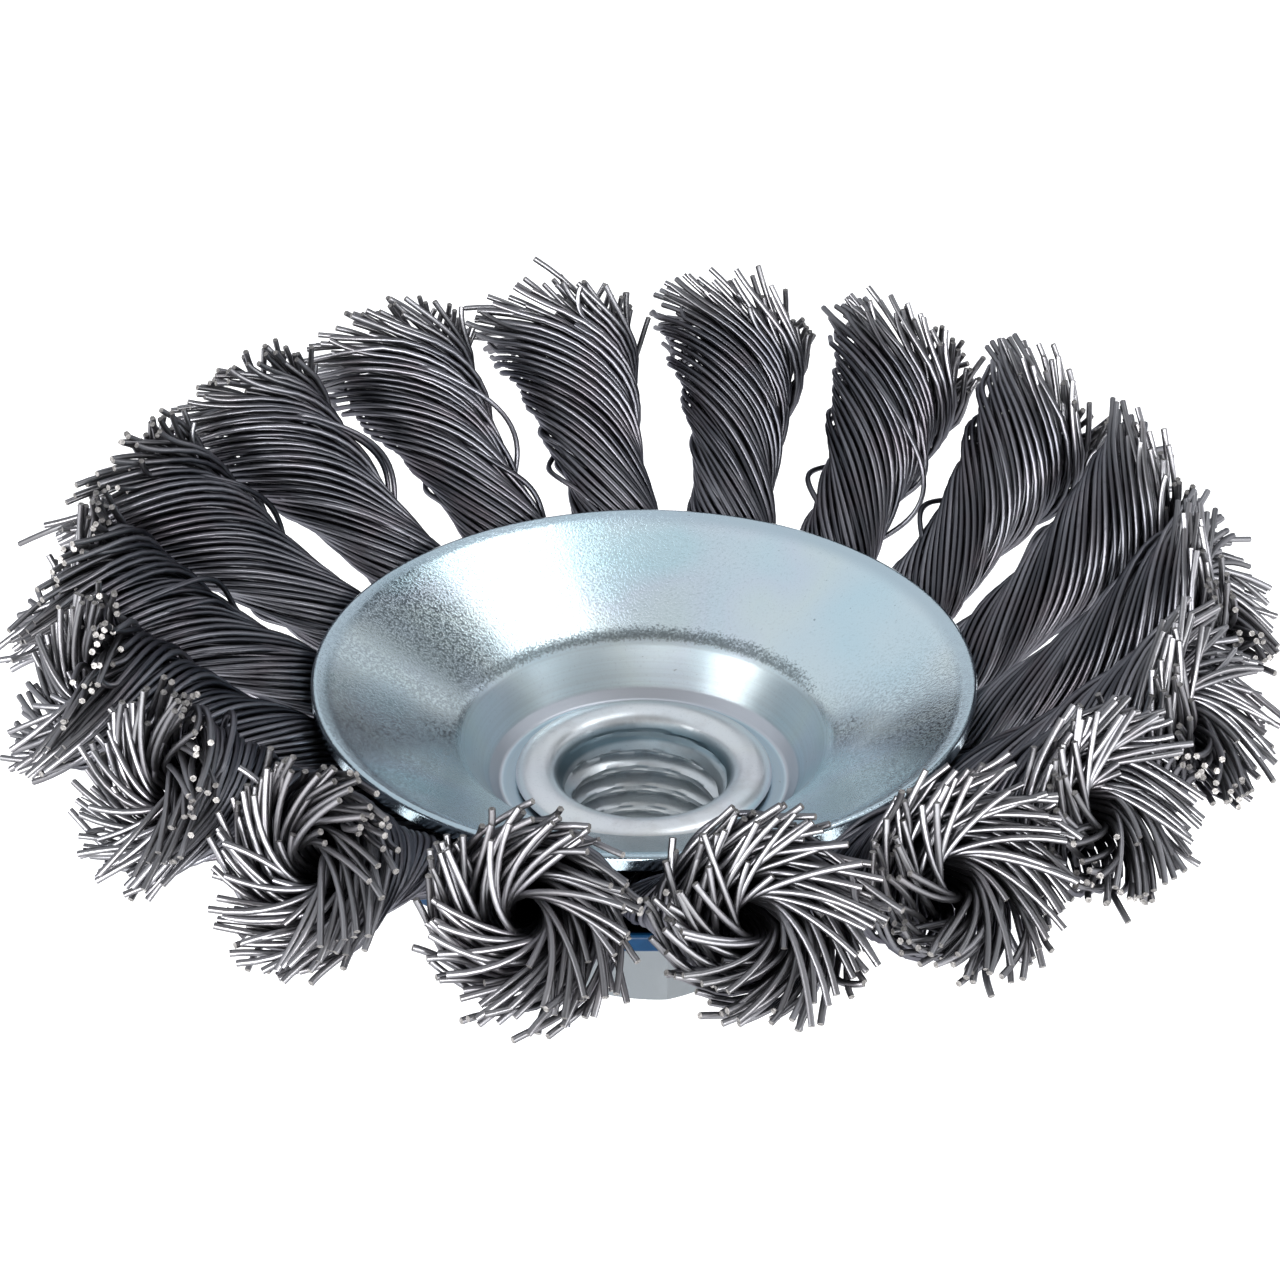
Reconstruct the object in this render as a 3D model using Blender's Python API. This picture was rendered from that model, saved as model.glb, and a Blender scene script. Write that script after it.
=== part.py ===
"""Conical wire brush with twisted knots for an angle grinder, lying on its hub nut, bristle side up.

Eighteen wire knots are looped through a conical holding disc, clamped between two pressed plates and held
by a turned hub with a hexagon below, a threaded bore and a rolled lip on top. Metres, +Z up, origin at the
middle of the nut's lower face.
"""

import math

import bmesh
import bpy
from mathutils import Matrix, Vector

MM = 0.001

# Whole brush
KNOTS = 18
PITCH = math.tau / KNOTS
TIP_DIRECTION = math.radians(-80.0)  # the tip of knot 1, seen from above, from +X towards +Y
SWEEP = math.radians(6.0)  # the tips stand this far ahead of their roots
CLEARANCE = 0.3 * MM
SHEET = 1.4 * MM
SHARP_FOLD = 35.0  # degrees; edges sharper than this stay crisp in shading
SHARP_HUB = 25.0
SHARP_KNOT = 60.0

# Hub
NUT_ACROSS_FLATS = 19.0 * MM
NUT_HEIGHT = 9.3 * MM
NUT_CORNER = math.radians(-80.5)
NUT_FACE_RADIUS = 9.1 * MM
NUT_CHAMFER = math.radians(30.0)
SLEEVE_RADIUS = 8.8 * MM
BORE_RADIUS = 5.92 * MM  # core of the M14 x 2 thread
MOUTH_RADIUS = 7.15 * MM
LIP_RADIUS = 10.45 * MM
LIP_HEIGHT = 1.05 * MM
MOUTH_RISE = 0.1 * MM  # of the countersink's edge above the lip's foot
HUB_SEGMENTS = 36

# Holding disc, with its radii as shares of the way from the sleeve to its edge
PLATE_HOLE = SLEEVE_RADIUS + CLEARANCE
DISC_RADIUS = 20.3 * MM
DISC_REACH = DISC_RADIUS - PLATE_HOLE
DISC_BOSS_RADIUS = PLATE_HOLE + 0.3125 * DISC_REACH
DISC_BEND_RADIUS = PLATE_HOLE + 0.4286 * DISC_REACH
DISC_THICKNESS = 1.2 * MM
DISC_BOSS = 2.6 * MM
DISC_SEGMENTS = 36
LOOP_HOLE = 0.161 * DISC_REACH
LOOP_HOLE_SIDES = 10

# Legs of a loop, which lie on either side of the disc
LEG_CLEAR = DISC_THICKNESS / 2 + CLEARANCE
LEG_THICKNESS = 1.45 * MM
LEG_REACH = LEG_CLEAR + LEG_THICKNESS
LEG_WIDTH = 5.4 * MM
LOOP_WIDTH = 1.55 * LOOP_HOLE

# Back plate's floor and foot, heights of its upper face
BACK_FLOOR = NUT_HEIGHT + CLEARANCE + SHEET
BACK_FLOOR_RADIUS = PLATE_HOLE + 0.473 * DISC_REACH
BACK_FOOT_RADIUS = PLATE_HOLE + 0.58 * DISC_REACH
BACK_FOOT_RISE = 0.5 * MM
BACK_FOOT_HEIGHT = BACK_FLOOR + BACK_FOOT_RISE
BACK_FOOT_ROOM = 0.83 * MM  # between the foot and the lower legs

# Axis that each knot lies along. Places along it count from where the knot leaves the plates
AXIS_SLOPE = math.radians(32.0)
AXIS_RADIUS = 26.4 * MM
AXIS_RISE = (AXIS_RADIUS - BACK_FOOT_RADIUS) * math.tan(AXIS_SLOPE)
AXIS_HEIGHT = BACK_FOOT_HEIGHT + (LEG_REACH + BACK_FOOT_ROOM) / math.cos(AXIS_SLOPE) + AXIS_RISE
DISC_EDGE = (DISC_RADIUS - AXIS_RADIUS) / math.cos(AXIS_SLOPE)
LEG_OVERLAP = 0.25 * MM  # how far the legs run flat past the disc's edge
LEG_JOIN = 1.2 * MM
ROOT = DISC_EDGE + LEG_JOIN  # where the two legs of the loop join
LOOP_HOLE_CENTRE = DISC_EDGE - 0.296 * DISC_REACH / math.cos(AXIS_SLOPE)


def axis_height(radius):
    """Height of the knots' axis at this radius."""
    return AXIS_HEIGHT + (radius - AXIS_RADIUS) * math.tan(AXIS_SLOPE)


def beside_axis(radius, offset):
    """Height, at this radius, of a line that runs beside the knots' axis."""
    return axis_height(radius) + offset / math.cos(AXIS_SLOPE)


# Knots
KNOT_LENGTH = 23.4 * MM
BOW = 1.3  # power of the share of the length by which a knot swings over to its tip
GRIP_WIDTH = 4.1 * MM  # half sizes where the plates' rims hold a knot flat
GRIP_THICKNESS = 2.0 * MM
GRIP_START = -1.5 * MM
GRIP_END = 1.4 * MM
LAY = 0.2 / MM  # turn of the wires in radians for each metre along the axis
LAY_GAIN = 0.8  # extra turn in radians that the flare adds up to its tip
STRANDS = 6
BODY_GROOVE = 0.86  # radius at the bottom of a groove over the radius at a strand's crest
TIP_GROOVE = 0.8
GROOVE_RUN = 2  # sections over which the grooves grow from nothing at the root
FLARE_START = 0.4  # share of the length
FLARE_RADIUS = 7.6 * MM
FLARE_SHAPE = (  # share of the length, then half width and half thickness as shares of the flare's radius
    (0.217, 0.5, 0.35),
    (0.391, 0.505, 0.42),
    (0.552, 0.58, 0.53),
    (0.696, 0.7, 0.65),
    (0.8, 0.815, 0.775),
    (0.9, 0.925, 0.9),
    (1.0, 1.0, 1.0),
)
TUFT_RISE = 0.4 * MM  # of the tufts past the knot's length
TUFT_NOTCH = 1.5 * MM  # from the tufts back to the grooves between them
HOLLOW_RADIUS = 0.18 * FLARE_RADIUS
HOLLOW_SHAPE = (0.92, 0.41)  # share of the length, and radius as a share of the flare's
HOLLOW_END = 0.765

# Plates' rims, and the front plate's floor and foot, heights of their upper faces
BACK_RIM_ROOM = 0.4 * MM
FRONT_RIM_ROOM = 0.2 * MM
FRONT_CONE_ROOM = 0.5 * MM
BACK_RIM_RADIUS = 26.6 * MM
BACK_RIM_HEIGHT = beside_axis(BACK_RIM_RADIUS, -GRIP_THICKNESS - BACK_RIM_ROOM)
FRONT_FLOOR = BACK_FLOOR + DISC_BOSS + 2 * CLEARANCE + SHEET
FRONT_FLOOR_RADIUS = PLATE_HOLE + 0.232 * DISC_REACH
FRONT_CONE_RADIUS = PLATE_HOLE + 0.5625 * DISC_REACH
FRONT_CONE_HEIGHT = beside_axis(FRONT_CONE_RADIUS, LEG_REACH + FRONT_CONE_ROOM + SHEET)
FRONT_RIM_RADIUS = 26.5 * MM
FRONT_RIM_HEIGHT = beside_axis(FRONT_RIM_RADIUS, GRIP_THICKNESS + FRONT_RIM_ROOM + SHEET)
RIM_ROUNDING = 0.3 * MM
PLATE_SEGMENTS = 48


def material(name, colour, metallic, roughness):
    """A plain surface of one colour."""
    made = bpy.data.materials.new(name)
    made.use_nodes = True
    shader = made.node_tree.nodes["Principled BSDF"]
    shader.inputs["Base Color"].default_value = (*colour, 1.0)
    shader.inputs["Metallic"].default_value = metallic
    shader.inputs["Roughness"].default_value = roughness
    return made


def finished_mesh(name, mesh_data, surface, sharp=SHARP_FOLD):
    """A mesh from a bmesh, facing out and shaded smooth across edges flatter than the given angle."""
    bmesh.ops.recalc_face_normals(mesh_data, faces=mesh_data.faces)
    mesh = bpy.data.meshes.new(name)
    mesh_data.to_mesh(mesh)
    mesh_data.free()
    mesh.shade_smooth()
    mesh.set_sharp_from_angle(angle=math.radians(sharp))
    mesh.materials.append(surface)
    return mesh


def placed(name, mesh, turn=0.0):
    """An object of this mesh, turned about the brush's axis."""
    piece = bpy.data.objects.new(name, mesh)
    piece.rotation_euler.z = turn
    bpy.context.scene.collection.objects.link(piece)
    return piece


def joined_rings(made, first, second):
    """Quads between two rings of the same number of vertices."""
    count = len(first)
    for i in range(count):
        j = (i + 1) % count
        if first[i] is second[i]:
            corners = (first[i], first[j], second[j])
        elif first[j] is second[j]:
            corners = (first[i], first[j], second[i])
        else:
            corners = (first[i], first[j], second[j], second[i])
        made.faces.new(corners)


def turned(rings, segments):
    """A closed turned body. Each ring is (radius, height), or a function of the angle that gives them."""
    made = bmesh.new()
    loops = []
    for ring in rings:
        loop = []
        for i in range(segments):
            angle = math.tau * i / segments
            radius, height = ring(angle) if callable(ring) else ring
            place = (radius * math.cos(angle), radius * math.sin(angle), height)
            loop.append(made.verts.new(place))
        loops.append(loop)
    for i, loop in enumerate(loops):
        joined_rings(made, loop, loops[(i + 1) % len(loops)])
    return made


def sheet_profile(upper, thickness):
    """A closed outline round a sheet whose upper face follows the given points, from the hole outwards."""
    lower = []
    for i, point in enumerate(upper):
        before = (point - upper[max(i - 1, 0)]).normalized()
        after = (upper[min(i + 1, len(upper) - 1)] - point).normalized()
        along = (before + after).normalized()
        share = along.dot(after if i < len(upper) - 1 else before)
        lower.append(point + Vector((along.y, -along.x)) * thickness / max(share, 0.5))
    return upper + lower[::-1]


def hex_radius(angle):
    """Distance from the axis to the flats of the nut at this angle from a corner."""
    sector = math.tau / 6
    return NUT_ACROSS_FLATS / 2 / math.cos(angle % sector - sector / 2)


def hub_rings():
    """The hub from the lower mouth round the nut, the sleeve and the rolled lip, and back down the bore."""

    def chamfered(angle, face, way):
        radius = hex_radius(angle)
        return radius, face + way * (radius - NUT_FACE_RADIUS) * math.tan(NUT_CHAMFER)

    lip_foot = FRONT_FLOOR + CLEARANCE
    bevel = MOUTH_RADIUS - BORE_RADIUS
    mouth = lip_foot + MOUTH_RISE
    roll = (LIP_RADIUS - MOUTH_RADIUS) / 2
    middle = MOUTH_RADIUS + roll
    rolled = []
    for step in range(5):
        angle = math.pi * (0.06 + 0.22 * step)
        rolled.append((middle + roll * math.cos(angle), lip_foot + LIP_HEIGHT * math.sin(angle)))
    return [
        (MOUTH_RADIUS, 0.0),
        (NUT_FACE_RADIUS, 0.0),
        lambda angle: chamfered(angle, 0.0, 1),
        lambda angle: chamfered(angle, NUT_HEIGHT, -1),
        (NUT_FACE_RADIUS, NUT_HEIGHT),
        (SLEEVE_RADIUS, NUT_HEIGHT),
        (SLEEVE_RADIUS, lip_foot),
        (LIP_RADIUS - RIM_ROUNDING, lip_foot),
        *rolled,
        (MOUTH_RADIUS, mouth),
        (BORE_RADIUS, mouth - bevel),
        (BORE_RADIUS, bevel),
    ]


def front_plate_profile():
    """The dish: a flat floor round the hub, a rounded step up, and a cone out to the rim."""
    rise = FRONT_CONE_HEIGHT - FRONT_FLOOR
    run = FRONT_CONE_RADIUS - FRONT_FLOOR_RADIUS
    step = [(0.25, 0.13), (0.48, 0.43), (0.75, 0.82)]
    upper = [Vector((PLATE_HOLE, FRONT_FLOOR)), Vector((FRONT_FLOOR_RADIUS, FRONT_FLOOR))]
    upper += [Vector((FRONT_FLOOR_RADIUS + run * x, FRONT_FLOOR + rise * z)) for x, z in step]
    upper.append(Vector((FRONT_CONE_RADIUS, FRONT_CONE_HEIGHT)))
    upper.append(Vector((FRONT_RIM_RADIUS, FRONT_RIM_HEIGHT)))
    return upright_rim(sheet_profile(upper, SHEET), len(upper) - 1)


def back_plate_profile():
    """The rear plate: a flat floor on the nut and a cone out to the rim."""
    upper = [
        Vector((PLATE_HOLE, BACK_FLOOR)),
        Vector((BACK_FLOOR_RADIUS, BACK_FLOOR)),
        Vector((BACK_FOOT_RADIUS, BACK_FOOT_HEIGHT)),
        Vector((BACK_RIM_RADIUS, BACK_RIM_HEIGHT)),
    ]
    return upright_rim(sheet_profile(upper, SHEET), len(upper) - 1)


def upright_rim(outline, rim):
    """The outline with its outer end trimmed upright and its upper edge rounded off."""
    top = outline[rim]
    under = outline[rim + 1]
    inner = outline[rim + 2]
    slope = (under.y - inner.y) / (under.x - inner.x)
    foot = Vector((top.x, under.y + slope * (top.x - under.x)))
    along = (outline[rim - 1] - top).normalized()
    rounded = [top + along * RIM_ROUNDING, top - Vector((0.0, RIM_ROUNDING))]
    return outline[:rim] + rounded + [foot] + outline[rim + 2 :]


def disc_profile():
    """The holding disc: a thick boss between the plates and a conical flange along the knots' axis."""
    half = DISC_THICKNESS / 2 / math.cos(AXIS_SLOPE)
    edge = RIM_ROUNDING
    base = BACK_FLOOR + CLEARANCE
    bend = DISC_BEND_RADIUS
    inner = DISC_RADIUS - edge
    return [
        (PLATE_HOLE, base),
        (DISC_BOSS_RADIUS, base),
        (bend + CLEARANCE, axis_height(bend) - half),
        (inner, axis_height(inner) - half),
        (DISC_RADIUS, axis_height(DISC_RADIUS) - half + edge),
        (DISC_RADIUS, axis_height(DISC_RADIUS) + half - edge),
        (inner, axis_height(inner) + half),
        (bend, axis_height(bend) + half - CLEARANCE),
        (DISC_BOSS_RADIUS, base + DISC_BOSS),
        (PLATE_HOLE, base + DISC_BOSS),
    ]


def knot_frame(along):
    """Middle, sideways and upward directions of a knot this far along its axis."""
    out = Vector((math.cos(AXIS_SLOPE), 0.0, math.sin(AXIS_SLOPE)))
    start = Vector((AXIS_RADIUS, 0.0, AXIS_HEIGHT))
    reach = AXIS_RADIUS + KNOT_LENGTH * math.cos(AXIS_SLOPE)
    drift = reach * math.sin(SWEEP) * (max(along, 0.0) / KNOT_LENGTH) ** BOW
    side = Vector((0.0, 1.0, 0.0))
    up = out.cross(side) * -1.0
    return start + out * along + side * drift, side, up


def turn_at(along):
    """How far the wires have turned this far along the axis, in radians."""
    flare = max(along / KNOT_LENGTH - FLARE_START, 0.0) / (1.0 - FLARE_START)
    return LAY * (along - ROOT) + LAY_GAIN * flare**2


def knot_stations():
    """Half width and half thickness of a knot along its axis, from the root to the flared tip."""
    held = [
        (ROOT, 1.09 * LEG_WIDTH / 2, 1.1 * GRIP_THICKNESS),
        (GRIP_START, 0.93 * GRIP_WIDTH, GRIP_THICKNESS),
        (GRIP_END, GRIP_WIDTH, GRIP_THICKNESS),
    ]
    flared = [
        (share * KNOT_LENGTH, wide * FLARE_RADIUS, thick * FLARE_RADIUS)
        for share, wide, thick in FLARE_SHAPE
    ]
    return held + flared


def knot_ring(made, along, wide, thick, depth, rise=0.0, notch=0.0):
    """One twisted section of a knot, with a groove between neighbouring strands.

    The strands may run on by the given rise, and the grooves end short of them by the notch.
    """
    count = 2 * STRANDS
    ring = []
    for i in range(count):
        here = along + rise - (notch if i % 2 else 0.0)
        middle, side, up = knot_frame(here)
        angle = math.tau * i / count - turn_at(here)
        size = depth if i % 2 else 1.0
        place = middle + side * wide * size * math.cos(angle) + up * thick * size * math.sin(angle)
        ring.append(made.verts.new(place))
    return ring


def loop_stations():
    """Sections of the loop from above the disc, through its hole, to below it.

    Each is the half width, then the inner, middle and outer points as (along, up) from the axis.
    """
    over = LEG_CLEAR
    bend = LOOP_HOLE_CENTRE + 0.9 * LOOP_HOLE
    hole = LOOP_HOLE_CENTRE
    leg = DISC_EDGE + LEG_OVERLAP
    upper = [
        (LEG_WIDTH / 2, (leg, over), (leg, over + 0.4 * LEG_THICKNESS), (leg, LEG_REACH)),
        (
            0.62 * LOOP_WIDTH,
            (bend - 0.17 * LOOP_HOLE, over),
            (bend - 0.39 * LOOP_HOLE, over + 0.28 * LEG_THICKNESS),
            (bend - 0.72 * LOOP_HOLE, over + 0.69 * LEG_THICKNESS),
        ),
    ]
    middle = (
        LOOP_WIDTH / 2,
        (hole + 0.58 * LOOP_HOLE, 0.0),
        (hole, 0.0),
        (hole - 0.61 * LOOP_HOLE, 0.0),
    )
    lower = [
        (width, *((along, -height) for along, height in points)) for width, *points in upper[::-1]
    ]
    return [*upper, middle, *lower]


def loop_ring(made, station):
    """One section of the loop: an arc round its outer side and one point on its inner side."""
    width, inner, ends, outer = station
    side = Vector((0.0, 1.0, 0.0))
    places = []
    for i in range(STRANDS + 1):
        angle = math.pi * i / STRANDS
        along, height = (e + (o - e) * math.sin(angle) for e, o in zip(ends, outer))
        middle, _, up = knot_frame(along)
        places.append(middle + side * width * math.cos(angle) + up * height)
    middle, _, up = knot_frame(inner[0])
    places.append(middle + up * inner[1])
    return [made.verts.new(place) for place in places]


def knot_mesh(surface):
    """A whole knot: the loop round the disc's edge, the twisted wires and the hollow tip with its tufts."""
    made = bmesh.new()
    stations = knot_stations()
    rings = []
    for i, (along, wide, thick) in enumerate(stations):
        groove = BODY_GROOVE + (TIP_GROOVE - BODY_GROOVE) * max(along, 0.0) / KNOT_LENGTH
        depth = 1.0 - min(i / GROOVE_RUN, 1.0) * (1.0 - groove)
        tufts = (TUFT_RISE, TUFT_NOTCH) if i == len(stations) - 1 else (0.0, 0.0)
        rings.append(knot_ring(made, along, wide, thick, depth, *tufts))
    for first, second in zip(rings, rings[1:]):
        joined_rings(made, first, second)

    share, part = HOLLOW_SHAPE
    hollow = [
        (share * KNOT_LENGTH, part * FLARE_RADIUS),
        (HOLLOW_END * KNOT_LENGTH, HOLLOW_RADIUS),
    ]
    last = rings[-1]
    for along, radius in hollow:
        ring = knot_ring(made, along, radius, radius, 1.0)
        joined_rings(made, last, ring)
        last = ring
    made.faces.new(last)

    root = rings[0]
    crotch = made.verts.new(knot_frame(ROOT)[0])
    upper = [*root[: STRANDS + 1], crotch]
    lower = [root[0], *root[:STRANDS - 1:-1], crotch]
    loops = [upper, *(loop_ring(made, station) for station in loop_stations()), lower]
    for first, second in zip(loops, loops[1:]):
        joined_rings(made, first, second)
    return finished_mesh("knot", made, surface, SHARP_KNOT)


def hole_cutter():
    """Pegs square to the disc's flange, one at the middle of each loop hole."""
    made = bmesh.new()
    middle, side, up = knot_frame(LOOP_HOLE_CENTRE)
    out = side.cross(up)
    tilt = Matrix((out, side, up)).transposed().to_4x4()
    for i in range(KNOTS):
        turn = Matrix.Rotation(root_direction(i), 4, "Z")
        bmesh.ops.create_cone(
            made,
            cap_ends=True,
            segments=LOOP_HOLE_SIDES,
            radius1=LOOP_HOLE,
            radius2=LOOP_HOLE,
            depth=4 * DISC_THICKNESS,
            matrix=turn @ Matrix.Translation(middle) @ tilt,
        )
    cutter = placed("loop_hole_cutter", finished_mesh("loop_hole_cutter", made, steel))
    cutter.hide_render = True
    cutter.display_type = "WIRE"
    return cutter


def root_direction(index):
    """Direction in which this knot leaves the holding disc."""
    return TIP_DIRECTION + PITCH * index - SWEEP


def holding_disc():
    """The disc with one loop hole for each knot."""
    mesh = finished_mesh("holding_disc", turned(disc_profile(), DISC_SEGMENTS), steel)
    disc = placed("holding_disc", mesh)
    cut = disc.modifiers.new("loop holes", "BOOLEAN")
    cut.operation = "DIFFERENCE"
    cut.solver = "EXACT"
    cut.object = hole_cutter()


for leftover in list(bpy.data.objects):
    bpy.data.objects.remove(leftover)

zinc = material("zinc plate", (0.72, 0.75, 0.78), 1.0, 0.32)
blue_lacquer = material("blue lacquer", (0.01, 0.10, 0.38), 0.0, 0.35)
steel = material("bare steel", (0.30, 0.30, 0.31), 1.0, 0.45)
wire = material("hardened wire", (0.09, 0.09, 0.10), 1.0, 0.36)

hub = finished_mesh("threaded_hub", turned(hub_rings(), HUB_SEGMENTS), zinc, SHARP_HUB)
placed("threaded_hub", hub, NUT_CORNER)
placed("front_plate", finished_mesh("front_plate", turned(front_plate_profile(), PLATE_SEGMENTS), zinc))
back_plate = turned(back_plate_profile(), PLATE_SEGMENTS)
placed("back_plate", finished_mesh("back_plate", back_plate, blue_lacquer))
holding_disc()
shared_knot = knot_mesh(wire)
for number in range(KNOTS):
    placed(f"knot_{number + 1:02d}", shared_knot, root_direction(number))
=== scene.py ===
import math

import bpy
import numpy as np
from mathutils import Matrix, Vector


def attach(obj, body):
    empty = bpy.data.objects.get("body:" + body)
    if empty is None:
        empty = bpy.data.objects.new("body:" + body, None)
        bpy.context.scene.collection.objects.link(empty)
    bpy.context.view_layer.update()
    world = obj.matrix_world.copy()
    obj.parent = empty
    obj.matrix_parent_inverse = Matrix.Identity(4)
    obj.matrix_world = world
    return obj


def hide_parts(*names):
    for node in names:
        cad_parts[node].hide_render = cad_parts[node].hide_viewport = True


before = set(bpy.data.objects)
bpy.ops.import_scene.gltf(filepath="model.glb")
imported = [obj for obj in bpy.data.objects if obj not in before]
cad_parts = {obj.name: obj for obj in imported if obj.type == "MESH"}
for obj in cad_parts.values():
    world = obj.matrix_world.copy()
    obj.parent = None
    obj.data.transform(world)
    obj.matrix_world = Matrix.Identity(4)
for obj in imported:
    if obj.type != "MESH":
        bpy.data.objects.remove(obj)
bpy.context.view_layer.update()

MM = 0.001

# Sizes in millimetres, with +Z up and the origin at the middle of the nut's lower face
KNOTS = 18
PITCH = 360.0 / KNOTS
FIRST_TIP = -80.0
SWEEP = math.radians(6.0)
SLOPE = math.radians(32.0)
AXIS_START = (26.4, 22.0)
KNOT_LENGTH = 23.4
SHEET = 1.4

# Photograph's camera, which looks along +Y and down at a point over the dish
CAMERA_DISTANCE = 255.5
CAMERA_LENS = 90.6
CAMERA_SENSOR = 36.0
CAMERA_NEAR = 0.01
CAMERA_DROP = math.radians(30.96)
CAMERA_TARGET = Vector((-0.31, 0.0, 28.5))


# Finishes


class Flow:
    """A socket among a finish's nodes. Arithmetic on it adds Math nodes."""

    def __init__(self, nodes, socket):
        self.nodes = nodes
        self.socket = socket

    def __add__(self, other):
        return self.nodes.maths("ADD", self, other)

    def __rsub__(self, other):
        return self.nodes.maths("SUBTRACT", other, self)

    def __mul__(self, other):
        return self.nodes.maths("MULTIPLY", self, other)

    def __pow__(self, other):
        return self.nodes.maths("POWER", self, other)

    __radd__ = __add__
    __rmul__ = __mul__

    def between(self, low, high):
        """0 below low, 1 above high, and smooth between them."""
        limits = {"Value": self, "From Min": low, "From Max": high}
        return self.nodes.node("ShaderNodeMapRange", {"interpolation_type": "SMOOTHSTEP"}, limits)

    def past(self, low, high):
        """0 below low and 1 above high, both in millimetres."""
        return self.between(low * MM, high * MM)

    def before(self, low, high):
        """1 below low and 0 above high, both in millimetres."""
        return 1.0 - self.past(low, high)


class Nodes:
    """Nodes of a material or of the room's light."""

    def __init__(self, tree):
        self.tree = tree

    def put(self, socket, value):
        """Links a flow to a socket, or sets the socket's own value."""
        if isinstance(value, Flow):
            self.tree.links.new(value.socket, socket)
        elif isinstance(value, tuple) and socket.type == "RGBA":
            socket.default_value = (*value, 1.0)
        else:
            socket.default_value = value

    def node(self, kind, settings=None, values=None, output=0):
        """A node with its settings, or its ramp's stops, and then the values or links of its sockets."""
        made = self.tree.nodes.new(kind)
        settings = dict(settings or {})
        stops = settings.pop("stops", None)
        for name, value in settings.items():
            setattr(made, name, value)
        if stops:
            ramp = made.color_ramp.elements
            while len(ramp) < len(stops):
                ramp.new(1.0)
            for element, (place, colour) in zip(ramp, stops):
                element.position = place
                element.color = (*colour, 1.0)
        for name, value in (values or {}).items():
            self.put(made.inputs[name], value)
        return Flow(self, made.outputs[output])

    def maths(self, operation, first, second):
        return self.node("ShaderNodeMath", {"operation": operation}, {0: first, 1: second})

    def vector(self, operation, first, second, output=0):
        return self.node("ShaderNodeVectorMath", {"operation": operation}, {0: first, 1: second}, output)

    def blend(self, share, first, second):
        """A colour between two others. The Mix node's colours are its sockets 6, 7 and 2."""
        return self.node("ShaderNodeMix", {"data_type": "RGBA"}, {"Factor": share, 6: first, 7: second}, 2)


class Finish(Nodes):
    """A material of a Principled shader."""

    def __init__(self, name, **constants):
        self.material = bpy.data.materials.new(name)
        self.material.use_nodes = True
        super().__init__(self.material.node_tree)
        self.set(**constants)

    def set(self, **surface):
        """Sets or links the shader's own sockets."""
        shader = self.tree.nodes["Principled BSDF"]
        for socket, value in surface.items():
            self.put(shader.inputs[socket.replace("_", " ")], value)
        return self.material

    def places(self):
        return self.node("ShaderNodeTexCoord", {}, {}, "Object")

    def noise(self, scale, detail=3.0, roughness=0.55, places=None):
        """Noise with this many waves in a metre."""
        places = places or self.places()
        values = {"Vector": places, "Scale": scale, "Detail": detail, "Roughness": roughness}
        return self.node("ShaderNodeTexNoise", {}, values)

    def polar(self):
        """Distance from the brush's axis, turn round it, and height."""
        split = self.node("ShaderNodeSeparateXYZ", {}, {0: self.places()}).socket.node
        x, y, height = (Flow(self, socket) for socket in split.outputs)
        return (x * x + y * y) ** 0.5, self.maths("ARCTAN2", y, x), height

    def bump(self, height, depth):
        """Relief of this depth in millimetres."""
        return self.node("ShaderNodeBump", {}, {"Height": height, "Distance": depth * MM, "Strength": 1.0})


def zinc_finish(name, tint, rainbow_share):
    """Bright zinc with a thin passivate film: cloudy, speckled, pitted and faintly iridescent."""
    zinc = Finish(name, Metallic=1.0)
    cloud = zinc.noise(90.0, 4.0)
    drift = zinc.noise(60.0, 2.0, places=zinc.vector("ADD", zinc.places(), (0.3, 0.7, 0.2)))
    grain = zinc.noise(4400.0, 3.0, 0.7)
    pits = zinc.noise(1700.0, 3.0, 0.6)
    stops = [
        (0.30, (0.55, 0.74, 0.82)),
        (0.42, (0.66, 0.75, 0.79)),
        (0.50, (0.72, 0.77, 0.74)),
        (0.58, (0.68, 0.71, 0.80)),
        (0.68, (0.52, 0.76, 0.82)),
    ]
    rainbow = zinc.node("ShaderNodeValToRGB", {"stops": stops}, {0: drift})
    colour = zinc.blend(rainbow_share, tint, rainbow)
    colour = zinc.blend(cloud.between(0.35, 0.75) * 0.25, colour, (0.80, 0.83, 0.84))
    colour = zinc.blend(grain.between(0.55, 0.72) * 0.22, colour, (0.30, 0.35, 0.39))
    return zinc, colour, cloud, grain, pits


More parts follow.
